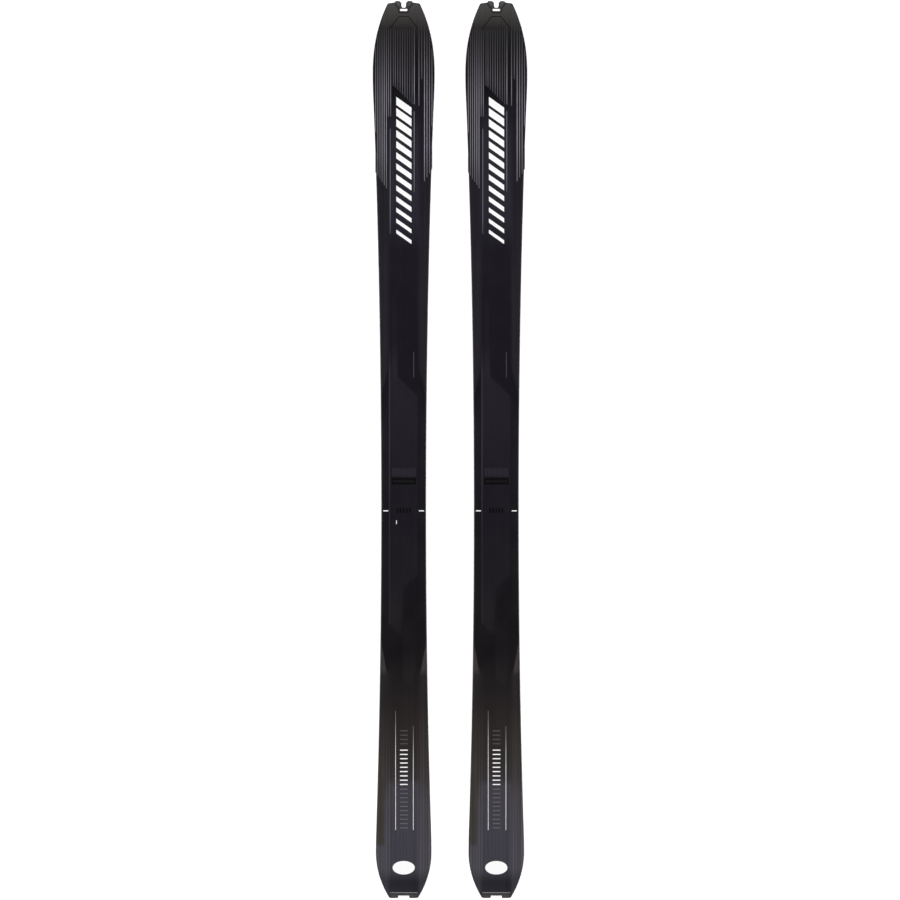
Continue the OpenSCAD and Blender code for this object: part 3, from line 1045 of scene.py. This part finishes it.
class SkiLook(bpy.types.PropertyGroup):
    """Finishes of the skis"""

    deck_roughness: bpy.props.FloatProperty(
        name="Deck roughness", description="How matt the top sheet is", default=0.34,
        min=0.1, max=1, subtype="FACTOR")
    deck_specular: bpy.props.FloatProperty(
        name="Deck gloss", description="How strongly the top sheet reflects", default=0.28,
        min=0, max=1, subtype="FACTOR")
    deck_rim: length_setting("Deck rim", "Radius of the top sheet's rounded rim", 0.00045)
    white: colour_setting("White ink", "Colour of the bars, ticks and oval", shade(250, 250, 250))
    pinstripe: colour_setting("Pinstripe ink", "Colour of the palest pinstripes", shade(152, 149, 159))
    tone_ink: colour_setting("Tone ink", "Colour of the tone-on-tone blocks", shade(40, 37, 45))
    steel: colour_setting("Steel", "Colour of the edges", shade(176, 177, 180))
    base: colour_setting("Base", "Colour of the base sheet", shade(30, 30, 33))
    sidewall: colour_setting("Sidewall", "Colour of the sidewalls", shade(30, 29, 33))
    insert: colour_setting("Nose insert", "Colour of the nose insert", shade(22, 22, 23))
    cap: colour_setting("Tail cap", "Colour of the tail cap", shade(46, 45, 50))
    pad: colour_setting("Pads", "Colour of the pads on the insert and the cap", shade(54, 54, 54))


class SkiMarks(bpy.types.PropertyGroup):
    """Printed marks of the skis"""

    pinstripe_width: length_setting("Pinstripe width", "Width of each pinstripe", 0.0015)
    bar_count: bpy.props.IntProperty(
        name="Bars", description="Number of slanted bars behind the tip", default=13, min=3, max=24)
    bar_slant: length_setting("Bar slant", "How far a bar falls from its left to its right end", 0.022)
    oval_width: length_setting("Oval width", "Width of the white oval at the tail", 0.0455)
    oval_length: length_setting("Oval length", "Length of the white oval at the tail", 0.0275)


class SkiStage(bpy.types.PropertyGroup):
    """Camera, floor and light"""

    view_width: length_setting("View width", "Length that the picture's side covers", 1.846)
    floor: colour_setting("Floor", "Colour of the floor", shade(246, 246, 247))
    sky: bpy.props.FloatProperty(
        name="Sky", description="Strength of the light round the horizon", default=1.75, min=0, max=4)
    lamps: bpy.props.FloatProperty(
        name="Lamps", description="Strength of the two soft side lights", default=0.3, min=0, max=8)


# ---------------- operators


# Side lights: name, direction they come from and height above the floor, in degrees
LAMPS = [("lamp_left", -90, 36), ("lamp_right", 90, 36)]

# Brightness of the sky by the height's sine: a pale band above the horizon and a dark zenith
SKY = [(0.0, 0.6), (0.12, 0.6), (0.30, 1.0), (0.62, 1.0), (0.84, 0.016), (1.0, 0.016)]


class SKIS_OT_stage(bpy.types.Operator):
    """Add the camera straight above the skis, a pale floor and soft side light"""

    bl_idname = "skis.stage"
    bl_label = "Camera, floor and light"

    def execute(self, context):
        stage = context.scene.ski_stage
        self.add_camera(context, stage)
        self.add_floor(context, stage)
        self.add_light(context, stage)
        return {"FINISHED"}

    def add_camera(self, context, stage):
        data = bpy.data.cameras.new("camera_above")
        data.type = "ORTHO"
        data.ortho_scale = stage.view_width
        data.clip_end = 100
        camera = bpy.data.objects.new("camera_above", data)
        camera.location = (0, -0.001, 3)
        context.scene.collection.objects.link(camera)
        context.scene.camera = camera

    def add_floor(self, context, stage):
        f = Finish("studio_floor", roughness=0.9, specular=0.1)
        cloud = f.noise(f.solid(), 1.5)
        f.feed(f.shader.inputs["Emission Color"], (1, 1, 1, 1))
        f.feed(f.shader.inputs["Emission Strength"], 0.5)
        size, z = 60, -0.0005
        mesh = bpy.data.meshes.new("floor")
        mesh.from_pydata([(-size, -size, z), (size, -size, z), (size, size, z), (-size, size, z)],
                         [], [(0, 1, 2, 3)])
        mesh.materials.append(f.finish(f.mix(f.spread(cloud, 0, 1), stage.floor, shade(242, 242, 243))))
        floor = bpy.data.objects.new("floor", mesh)
        context.scene.collection.objects.link(floor)

    def add_light(self, context, stage):
        world = bpy.data.worlds.new("studio")
        world.use_nodes = True
        t = NodeMaker(world.node_tree)
        height = t.split(t.node("ShaderNodeTexCoord").outputs["Generated"])["Z"]
        sky = t.ramp(height, [(place, (level, level, level, 1)) for place, level in SKY], "EASE")
        backdrop = t.tree.nodes["Background"]
        t.feed(backdrop.inputs["Strength"], t.times(sky, stage.sky))
        t.feed(backdrop.inputs["Color"], (1, 1, 1, 1))
        context.scene.world = world
        for label, azimuth, elevation in LAMPS:
            data = bpy.data.lights.new(label, "SUN")
            data.energy = stage.lamps
            data.angle = math.radians(40)
            lamp = bpy.data.objects.new(label, data)
            lamp.rotation_euler = (math.radians(90 - elevation), 0, math.radians(azimuth))
            context.scene.collection.objects.link(lamp)
        context.scene.view_settings.view_transform = "Standard"


class SKIS_OT_decks(bpy.types.Operator):
    """Make the printed top sheets with their bevelled shoulders and rounded rims"""

    bl_idname = "skis.decks"
    bl_label = "Decks"

    def execute(self, context):
        look = context.scene.ski_look
        mesh = slab("deck", [deck_loop()], deck_z, lambda x, y: deck_z(x, y) - TOPSHEET_T,
                    look.deck_rim, 0.0001, (0.006, 0.008), self.creases())
        put_on_both("deck", mesh, printed_deck(look), ["topsheet"])
        return {"FINISHED"}

    def creases(self):
        """Lines where the flat middle meets the bevelled shoulders, and where those run out"""
        lines = []
        for side in (-1, 1):
            platform = spaced(PLATFORM_REAR_Y, PLATFORM_FRONT_Y, CREASE_STEP)
            lines.append([(side * DECK_HALF, y) for y in platform])
            for start, stop in ((PLATFORM_FRONT_Y, SHOULDER_FRONT_Y), (PLATFORM_REAR_Y, SHOULDER_REAR_Y)):
                way = math.copysign(CREASE_STEP, stop - start)
                line, y = [(side * DECK_HALF, start)], start + way
                while (stop - y) * way > 0:
                    x = DECK_HALF + (PLATFORM_Z - middle_z(y)) / SHOULDER_SLOPE
                    if x > half_w(y) - TOPSHEET_INSET - 0.0015:
                        break
                    line.append((side * x, y))
                    y += way
                lines.append(line)
        return lines


class SKIS_OT_bases(bpy.types.Operator):
    """Make the sintered base sheets between the steel edges"""

    bl_idname = "skis.bases"
    bl_label = "Bases"

    def execute(self, context):
        mesh = slab("running_base", [running_loop()], lambda x, y: base_z(y) + BASE_T,
                    lambda x, y: base_z(y), 0.0001, 0.0001, (0.010, 0.010))
        put_on_both("running_base", mesh, sintered_base(context.scene.ski_look), ["base"])
        return {"FINISHED"}


class SKIS_OT_edges(bpy.types.Operator):
    """Make the steel edges, swept along each side of the base"""

    bl_idname = "skis.edges"
    bl_label = "Steel edges"

    def execute(self, context):
        steel = brushed_steel(context.scene.ski_look)
        tree = self.swept_edge()
        for side in SIDES:
            for hand, label in hands(side):
                name = f"{side}_steel_edge_{label}"
                mesh = grown_mesh(name, self.path(name, side, hand), tree, {
                    "Width": EDGE_W, "Height": EDGE_W, "Corner": 0.0003, "Steel": steel})
                put(name, mesh, steel, f"{side}_ski", [f"{side}_edge_{label}"])
        return {"FINISHED"}

    def path(self, name, side, hand):
        """The middle of the edge bar, along the ski's side"""
        line = side_line(EDGE_W / 2, CAP_Y + 0.0002, EDGE_END_Y - 0.0006)
        points = [(centre_of(side) + hand * x, y, base_z(y) + EDGE_W / 2) for x, y in line]
        mesh = bpy.data.meshes.new(name)
        mesh.from_pydata(points, [(i, i + 1) for i in range(len(points) - 1)], [])
        return mesh

    def swept_edge(self):
        """Geometry tree: a bar with rounded corners along a line"""
        t = TreeMaker("Bar swept along a side", [
            ("Width", "Float", 0.002), ("Height", "Float", 0.002), ("Corner", "Float", 0.0003),
            ("Steel", "Material", None)])
        line = t.made("GeometryNodeMeshToCurve", {"Mesh": t.given["Geometry"]})
        line = t.made("GeometryNodeSetCurveNormal", {"Curve": line}, mode="Z_UP")
        section = t.made("GeometryNodeCurvePrimitiveQuadrilateral", {
            "Width": t.given["Width"], "Height": t.given["Height"]})
        section = t.made("GeometryNodeFilletCurve", {
            "Curve": section, "Radius": t.given["Corner"], "Count": 2}, mode="POLY")
        bar = t.made("GeometryNodeCurveToMesh", {
            "Curve": line, "Profile Curve": section, "Fill Caps": True})
        bar = t.made("GeometryNodeSetShadeSmooth", {"Geometry": bar, "Shade Smooth": False})
        return t.done(bar, t.given["Steel"])


FOOT_SHARE = 0.3        # share of a sidewall's height that is upright


class SKIS_OT_sidewalls(bpy.types.Operator):
    """Make the sidewalls, bevelled from the steel edge up to the deck"""

    bl_idname = "skis.sidewalls"
    bl_label = "Sidewalls"

    def execute(self, context):
        plastic = sanded_sidewall(context.scene.ski_look)
        stations = spaced(SIDEWALL_REAR_Y, SIDEWALL_FRONT_Y, SIDE_STEP)
        for side in SIDES:
            for hand, label in hands(side):
                name = f"{side}_sidewall_{label}_bevelled"
                mesh = lofted(name, [self.section(y, centre_of(side), hand) for y in stations])
                mesh.set_sharp_from_angle(angle=math.radians(25))
                put(name, mesh, plastic, f"{side}_ski", [f"{side}_sidewall_{label}"])
        return {"FINISHED"}

    def section(self, y, centre_x, hand):
        """The sidewall's section at y: upright at the foot, then leaning in to the deck"""
        outer = side_point(y, 0)[0]
        low = base_z(y) + EDGE_W + DAMPER_T
        top = deck_z(outer - TOPSHEET_INSET, y) - TOPSHEET_T
        inner_top = deck_z(outer - CORE_INSET, y) - TOPSHEET_T
        foot = low + (top - low) * FOOT_SHARE
        profile = [(CORE_INSET, low), (SIDEWALL_INSET, low), (SIDEWALL_INSET, foot),
                   (TOPSHEET_INSET + 0.0001, top), (CORE_INSET, inner_top)]
        return [(centre_x + hand * (outer - inset), y, z) for inset, z in profile]


class SKIS_OT_ends(bpy.types.Operator):
    """Make the notched nose inserts and tail caps that hold a climbing skin"""

    bl_idname = "skis.ends"
    bl_label = "Nose inserts and tail caps"

    def execute(self, context):
        look = context.scene.ski_look
        insert = slab("nose_insert", insert_loops(), lambda x, y: middle_z(y) + INSERT_LIP,
                      lambda x, y: base_z(y) + UNDER_LIP, END_RIM, END_RIM, (0.0025, 0.0025))
        plastic = moulded("insert_plastic", look.insert, shade(30, 30, 31), 0.5, 0.0005)
        put_on_both("nose_insert", insert, plastic, ["tip_insert"])
        cap = slab("tail_end", [cap_loop()], lambda x, y: middle_z(y) + CAP_LIP,
                   lambda x, y: base_z(y), END_RIM, END_RIM, (0.003, 0.003))
        plastic = moulded("cap_plastic", look.cap, shade(64, 62, 68), 0.36, 0.0006)
        put_on_both("tail_end", cap, plastic, ["tail_cap"])
        self.pads(look)
        return {"FINISHED"}

    def pads(self, look):
        """Grey pads that stand proud on the horns and on the feet"""
        grey = moulded("pad_plastic", look.pad, shade(66, 66, 66), 0.55, 0.0004)
        for name, corners, lip, slot in (("horn_pad", HORN_PAD, INSERT_LIP, "insert_plastic"),
                                         ("foot_pad", FOOT_PAD, CAP_LIP, "cap_plastic")):
            loop = closed_chain(corners)
            for hand, shape in (("a", loop), ("b", mirrored(loop))):
                pad = slab(name, [shape], lambda x, y: middle_z(y) + lip + 0.00025,
                           lambda x, y: middle_z(y) + lip - 0.0001, 0.0002, 0.00005, (0.0015, 0.0015))
                put_on_both(f"{name}_{hand}", pad, grey)


class SKIS_OT_pinstripes(bpy.types.Operator):
    """Print the fine stripes that run back from the nose, in groups and two on their own"""

    bl_idname = "skis.pinstripes"
    bl_label = "Pinstripes"

    def execute(self, context):
        marks = context.scene.ski_marks
        ink = pinstripe_ink(context.scene.ski_look)
        strips = []
        for first, pitch, rear, slant, strengths in self.groups():
            for i, strength in enumerate(strengths):
                x = first + pitch * i
                end = rear + slant * (x - first)
                strips.append(lengthwise(x, end, nose_limit(x), marks.pinstripe_width, strength))
        strips.append(lengthwise(0.0215, NOSE_Y - 0.392, NOSE_Y - 0.226, 0.0012, 0.62))
        strips.append(lengthwise(-0.0277, NOSE_Y - 0.478, NOSE_Y - 0.262, 0.0012, 0.50))
        lay_strips("pinstripes", strips, ink, along=96)
        return {"FINISHED"}

    def groups(self):
        """(first x, pitch, rear end, the rear end's rise per metre across, strengths) of each group"""
        return [
            (-0.0575, 0.00440, NOSE_Y - 0.352, -1.45, (0.60, 0.56, 0.56, 0.68, 0.78, 0.76)),
            (-0.0311, 0.00440, NOSE_Y - 0.237, 0.0, (0.66, 0.62)),
            (-0.0212, 0.0, NOSE_Y - 0.174, 0.0, (0.40,)),
            (-0.0171, 0.00490, NOSE_Y - 0.177, -1.0, (0.54, 0.42, 0.46, 0.50, 0.50, 0.38, 0.31, 0.32)),
            (0.0218, 0.0, NOSE_Y - 0.212, 0.0, (0.98,)),
            (0.0312, 0.0, NOSE_Y - 0.215, 0.0, (0.70,)),
            (0.0369, 0.0, NOSE_Y - 0.160, 0.0, (0.60,)),
            (0.0427, 0.00510, NOSE_Y - 0.370, 1.6, (0.92, 0.72, 0.66, 0.60)),
        ]


class SKIS_OT_marks(bpy.types.Operator):
    """Print the bars, ticks, lines, dashes, blocks and oval on the decks, with the painted shade of the
    nose groove and the painted highlight at the tail cap
    """

    bl_idname = "skis.marks"
    bl_label = "Printed marks"

    def execute(self, context):
        look, marks = context.scene.ski_look, context.scene.ski_marks
        white = printed_ink("white_ink", look.white, shade(246, 246, 247))
        grey = printed_ink("grey_ink", shade(80, 76, 78), shade(70, 66, 68))
        pale = printed_ink("pale_ink", shade(96, 94, 102), shade(88, 86, 93))
        tone = printed_ink("tone_ink", look.tone_ink, shade(40, 37, 45))
        dark = printed_ink("dark_ink", shade(8, 8, 10), shade(14, 13, 15), specular=0.1)
        self.bars(marks, white)
        self.ticks(white)
        self.lines(look, pale)
        self.dashes(white, grey, pale)
        self.blocks(tone, dark)
        self.nose_lines(dark)
        self.oval(marks, white)
        self.tail_seam()
        return {"FINISHED"}

    def bars(self, marks, ink):
        """Slanted bars that grow thinner towards the tail"""
        front, rear = NOSE_Y - 0.2160, NOSE_Y - 0.5060
        pitch = (front - rear) / marks.bar_count
        thickest, fall = 0.74, 0.40     # shares of the pitch
        strips = []
        for i in range(marks.bar_count):
            thick = pitch * (thickest - fall * i / (marks.bar_count - 1))
            strips.append(strip(PRINT_X, front - pitch * i, thick, 0.0312, slant=-marks.bar_slant))
        lay_strips("slanted_bars", strips, ink, along=3, across=4)

    def ticks(self, ink):
        """Boot centre ticks at both sides of the deck, and the left ski's size tick"""
        strips = [strip(side * 0.0366, BOOT_Y - 0.0018, 0.0020, 0.0102) for side in (-1, 1)]
        lay_strips("boot_ticks", strips, ink, along=2, across=3)
        size_tick = [strip(-0.0148, BOOT_Y - 0.0250, 0.0078, 0.0013)]
        lay_strips("size_tick", size_tick, ink, along=3, sides=("left",))

    def lines(self, look, pale):
        """A short fine line ahead of the middle panel, and two long lines at the tail"""
        fine = [lengthwise(0.0206, PANEL_FRONT_Y + 0.010, PANEL_FRONT_Y + 0.062, 0.0008)]
        lay_strips("fine_line", fine, pale, along=8)
        strips = [lengthwise(x, TAIL_Y + 0.1395, TAIL_Y + front, 0.0011)
                  for x, front in ((-0.0166, 0.384), (0.0197, 0.353))]
        lay_strips("tail_lines", strips, fading_ink(look), along=40)

    def dashes(self, white, grey, pale):
        """Rows of dashes between the two long lines"""
        for label, ink, rear, count in (("front", grey, 0.3165, 4), ("middle", white, 0.2330, 9),
                                        ("rear", pale, 0.1440, 10)):
            strips = row(count, PRINT_X, TAIL_Y + rear, 0, 0.0088, 0.0022, 0.0158)
            lay_strips(f"{label}_dashes", strips, ink, along=2)

    def blocks(self, tone, dark):
        """Tone-on-tone blocks ahead of the boot centre, and a dark box of dashes behind them"""
        strips = row(8, -0.0215, BOOT_Y + 0.0775, 0.0062, 0, 0.0165, 0.0044)
        lay_strips("tone_blocks", strips, tone, along=3)
        lay_strips("dark_box", [strip(0.0, BOOT_Y + 0.0590, 0.0140, 0.0505)], dark, along=4, across=4)
        faint = printed_ink("faint_ink", shade(26, 25, 26), shade(22, 21, 22), specular=0.15)
        strips = row(8, -0.0196, BOOT_Y + 0.0590, 0.0056, 0, 0.0044, 0.0040)
        lay_strips("box_dashes", strips, faint, along=2, lift=0.00009)
        strips = row(5, -0.0126, BOOT_Y - 0.0010, 0.0063, 0, 0.0100, 0.0036)
        lay_strips("boot_dashes", strips, dark, along=3)

    def nose_lines(self, ink):
        """Painted shade of the groove that arches behind the nose insert, as a dark line, and the dark
        seam round the insert
        """
        front = NOSE_Y - 0.0318
        # Painted shade: a dark line where the groove arches behind the nose
        groove_half = chain([(0, front, 0), (0.0100, front, 0.005), (0.0300, front - 0.0270, 0)])
        self.ribbon("nose_arch", groove_half, 0.0016, ink)
        seam_half = chain(INSERT_SEAT[:3] + [(0.0180, NOSE_Y - 0.0048, 0)])
        self.ribbon("insert_seam", seam_half, 0.0014, ink, beside=-0.0008)

    def tail_seam(self):
        """Painted highlight of the tail cap's raised lip: a pale line where the deck meets the cap"""
        ink = printed_ink("seam_ink", shade(146, 146, 150), shade(100, 100, 104))
        lay_strips("tail_seam", [strip(0.0, CAP_Y + 0.0011, 0.0011, 0.0560)], ink, along=2, across=9)

    def oval(self, marks, ink):
        """Plain oval near the tail"""
        half_x, half_y, count = marks.oval_width / 2, marks.oval_length / 2, 72
        turns = [2 * math.pi * i / count for i in range(count)]
        centre_y = TAIL_Y + 0.0622
        loop = [(half_x * math.cos(a), centre_y + half_y * math.sin(a)) for a in turns]
        self.plate("tail_oval", loop, ink)

    def ribbon(self, name, half, width, ink, beside=0.0):
        """A line printed across the ski, given by its right-hand half; beside moves it to its left"""
        points = np.array(mirrored(half[1:]) + half)
        ahead = np.gradient(points, axis=0)
        ahead /= np.linalg.norm(ahead, axis=1)[:, None]
        left = np.stack([-ahead[:, 1], ahead[:, 0]], axis=1)
        right_edge = points + left * (beside - width / 2)
        left_edge = points + left * (beside + width / 2)
        self.plate(name, list(map(tuple, right_edge)) + list(map(tuple, left_edge[::-1])), ink)

    def plate(self, name, loop, ink):
        """A thin printed shape that follows the deck"""
        mesh = slab(name, [loop], lambda x, y: deck_z(x, y) + 0.00006, lambda x, y: deck_z(x, y) + 0.00002,
                    0.00001, 0.00001, (0.005, 0.004))
        put_on_both(name, mesh, ink)


class SKIS_OT_inner_layers(bpy.types.Operator):
    """Give the layers inside each ski, and the fillers at its ends, their own finishes"""

    bl_idname = "skis.inner_layers"
    bl_label = "Inner layers"

    def execute(self, context):
        finishes = {
            "lower_laminate": self.woven("glass_laminate", shade(96, 98, 92), shade(58, 60, 56)),
            "upper_laminate": self.woven("carbon_laminate", shade(44, 44, 47), shade(18, 18, 20)),
            "core": self.wood("core_wood", shade(214, 186, 138), shade(178, 142, 92)),
            "core_stringers": self.wood("stringer_wood", shade(168, 122, 72), shade(118, 80, 44)),
            "edge_dampers": moulded("damper_rubber", shade(34, 34, 34), shade(48, 48, 48), 0.8, 0.0004),
            "mounting_plate": self.alloy(),
            "tip_spacer": moulded("spacer_plastic", shade(34, 33, 37), shade(44, 43, 47), 0.55, 0.0005),
        }
        finishes["tail_spacer"] = finishes["tip_spacer"]
        for side in SIDES:
            for node, material in finishes.items():
                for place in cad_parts[f"{side}_{node}"].material_slots:
                    place.material = material
        return {"FINISHED"}

    def woven(self, name, warp, weft):
        """Twill cloth set in resin"""
        f = Finish(name, roughness=0.35, specular=0.5)
        parts = f.split(f.solid())
        thread, many = 0.002, 4000.0
        row, column = (f.math("FLOOR", f.math("DIVIDE", parts[axis], thread)) for axis in "XY")
        turn = f.math("MODULO", f.plus(f.plus(row, column), many), 4.0)
        over = f.math("LESS_THAN", turn, 2.0)
        threads = f.noise(f.solid(), 2500, detail=1.0)
        colour = f.mix(over, warp, weft)
        return f.finish(colour, f.map(over, 0, 1, 0.28, 0.42), f.bump(threads, 0.00002, 0.5))

    def wood(self, name, light, dark):
        """Strips of wood with grain along the ski"""
        f = Finish(name, roughness=0.6, specular=0.3)
        place = f.solid()
        rings = f.noise(place, (420, 7, 420), detail=4.0, roughness=0.6)
        pores = f.noise(place, (1900, 60, 1900))
        colour = f.mix(f.map(rings, 0.35, 0.65), light, dark)
        colour = f.mix(f.map(pores, 0.6, 0.75, 0, 0.5), colour, dark)
        return f.finish(colour, f.spread(pores, 0.5, 0.7), f.bump(rings, 0.00008, 0.5))

    def alloy(self):
        """Rolled aluminium plate"""
        f = Finish("rolled_alloy", metallic=1.0)
        lines = f.noise(f.solid(), (3000, 20, 3000))
        colour = f.mix(f.spread(lines, 0, 1), shade(178, 179, 182), shade(150, 151, 155))
        return f.finish(colour, f.spread(lines, 0.3, 0.45), f.bump(lines, 0.00002, 0.4))


OPERATORS = (SKIS_OT_stage, SKIS_OT_decks, SKIS_OT_bases, SKIS_OT_edges, SKIS_OT_sidewalls,
             SKIS_OT_ends, SKIS_OT_pinstripes, SKIS_OT_marks, SKIS_OT_inner_layers)


class SKIS_PT_panel(bpy.types.Panel):
    """Settings and build steps of the touring skis"""

    bl_idname = "SKIS_PT_panel"
    bl_label = "Touring skis"
    bl_space_type = "VIEW_3D"
    bl_region_type = "UI"
    bl_category = "Skis"

    def draw(self, context):
        scene = context.scene
        for group in (scene.ski_look, scene.ski_marks, scene.ski_stage):
            column = self.layout.column()
            for key in group.bl_rna.properties.keys():
                if key not in ("rna_type", "name"):
                    column.prop(group, key)
        for operator in OPERATORS:
            self.layout.operator(operator.bl_idname)


GROUPS = {"ski_look": SkiLook, "ski_marks": SkiMarks, "ski_stage": SkiStage}
CLASSES = tuple(GROUPS.values()) + OPERATORS + (SKIS_PT_panel,)


def register():
    for cls in CLASSES:
        bpy.utils.register_class(cls)
    for key, group in GROUPS.items():
        setattr(bpy.types.Scene, key, bpy.props.PointerProperty(type=group))


def unregister():
    for key in GROUPS:
        delattr(bpy.types.Scene, key)
    for cls in reversed(CLASSES):
        bpy.utils.unregister_class(cls)


def main():
    register()
    bpy.ops.skis.stage()
    bpy.ops.skis.decks()
    bpy.ops.skis.bases()
    bpy.ops.skis.edges()
    bpy.ops.skis.sidewalls()
    bpy.ops.skis.ends()
    bpy.ops.skis.pinstripes()
    bpy.ops.skis.marks()
    bpy.ops.skis.inner_layers()


if __name__ == "__main__":
    main()
